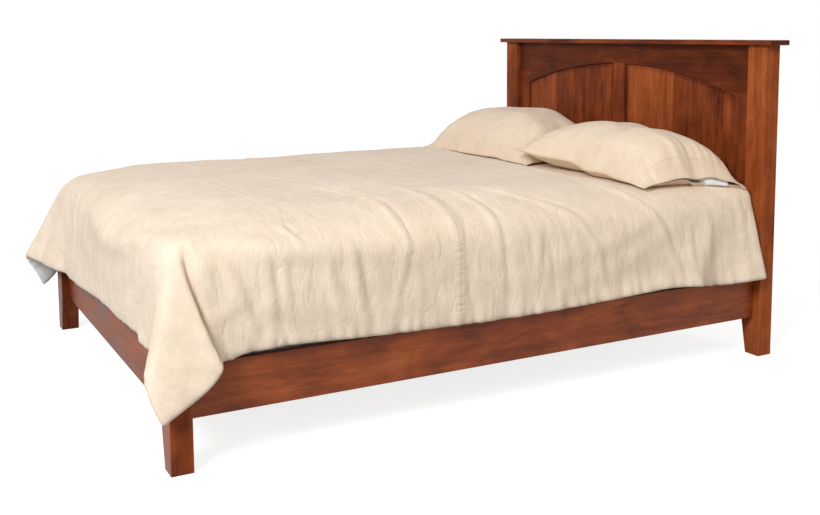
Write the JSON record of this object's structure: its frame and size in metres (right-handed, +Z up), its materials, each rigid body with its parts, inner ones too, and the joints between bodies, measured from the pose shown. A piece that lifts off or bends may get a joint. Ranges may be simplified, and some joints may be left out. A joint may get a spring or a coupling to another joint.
{
  "type": "bed",
  "caption": "Queen bed with an arched-panel wooden headboard, hook-on side rails, slats, mattress, draped duvet and pillows, standing on tapered posts.",
  "frame": {"origin": "on the floor, at the middle of the whole bed's footprint", "axes": "+Z up, +Y towards the headboard, +X towards the right-hand side as seen from the foot"},
  "size_m": [1.72, 2.286, 1.121],
  "materials": {
    "frame_wood": "stained and lacquered, semi-gloss",
    "support_wood": "sanded, unfinished",
    "hardware_steel": "zinc plated",
    "leveler_plastic": "moulded, matt",
    "foundation_fabric": "woven cover",
    "mattress_fabric": "quilted cover",
    "duvet_fabric": "soft linen weave",
    "pillowcase_fabric": "soft linen weave",
    "pillow_ticking": "plain cotton"
  },
  "bodies": {
    "frame": {"beam_screws": "hardware_steel", "cap_dowels": "support_wood", "center_beam": "support_wood", "center_leg_1": "support_wood", "center_leg_2": "support_wood", "center_leg_3": "support_wood", "cleat_left": "support_wood", "cleat_right": "support_wood", "cleat_screws": "hardware_steel", "foot_hook_plate_left": "hardware_steel", "foot_hook_plate_right": "hardware_steel", "foot_post_left": "frame_wood", "foot_post_right": "frame_wood", "foot_rail": "frame_wood", "foot_slot_plate_left": "hardware_steel", "foot_slot_plate_right": "hardware_steel", "foundation": "foundation_fabric", "head_hook_plate_left": "hardware_steel", "head_hook_plate_right": "hardware_steel", "head_slot_plate_left": "hardware_steel", "head_slot_plate_right": "hardware_steel", "headboard_bottom_rail": "frame_wood", "headboard_cap": "frame_wood", "headboard_panel_left": "frame_wood", "headboard_panel_right": "frame_wood", "headboard_post_left": "frame_wood", "headboard_post_right": "frame_wood", "headboard_stile_center": "frame_wood", "headboard_stile_left": "frame_wood", "headboard_stile_right": "frame_wood", "headboard_top_rail": "frame_wood", "hook_plate_screws": "hardware_steel", "leg_bolts": "hardware_steel", "leg_inserts": "hardware_steel", "mattress": "mattress_fabric", "side_rail_left": "frame_wood", "side_rail_right": "frame_wood", "slat_1": "support_wood", "slat_2": "support_wood", "slat_3": "support_wood", "slat_4": "support_wood", "slat_5": "support_wood", "slat_6": "support_wood", "slat_7": "support_wood", "slat_8": "support_wood", "slat_screws": "hardware_steel", "slot_plate_screws": "hardware_steel"},
    "duvet": {"duvet": "duvet_fabric"},
    "pillow_left": {"pillow_insert_left": "pillow_ticking", "pillowcase_left": "pillowcase_fabric"},
    "pillow_right": {"pillow_insert_right": "pillow_ticking", "pillowcase_right": "pillowcase_fabric"},
    "leveler_1": {"leveler_1": "leveler_plastic"},
    "leveler_2": {"leveler_2": "leveler_plastic"},
    "leveler_3": {"leveler_3": "leveler_plastic"}
  },
  "joints": [
    {"name": "duvet_lift", "type": "slide", "parent": "frame", "child": "duvet", "axis": [0, 0, 1], "range_m": [0, 0.2]},
    {"name": "pillow_left_lift", "type": "slide", "parent": "duvet", "child": "pillow_left", "axis": [0, 0, 1], "range_m": [0, 0.15]},
    {"name": "pillow_right_lift", "type": "slide", "parent": "duvet", "child": "pillow_right", "axis": [0, 0, 1], "range_m": [0, 0.15]},
    {"name": "leveler_1_adjust", "type": "slide", "parent": "frame", "child": "leveler_1", "axis": [0, 0, 1], "range_m": [0, 0.01]},
    {"name": "leveler_2_adjust", "type": "slide", "parent": "frame", "child": "leveler_2", "axis": [0, 0, 1], "range_m": [0, 0.01]},
    {"name": "leveler_3_adjust", "type": "slide", "parent": "frame", "child": "leveler_3", "axis": [0, 0, 1], "range_m": [0, 0.01]}
  ]
}
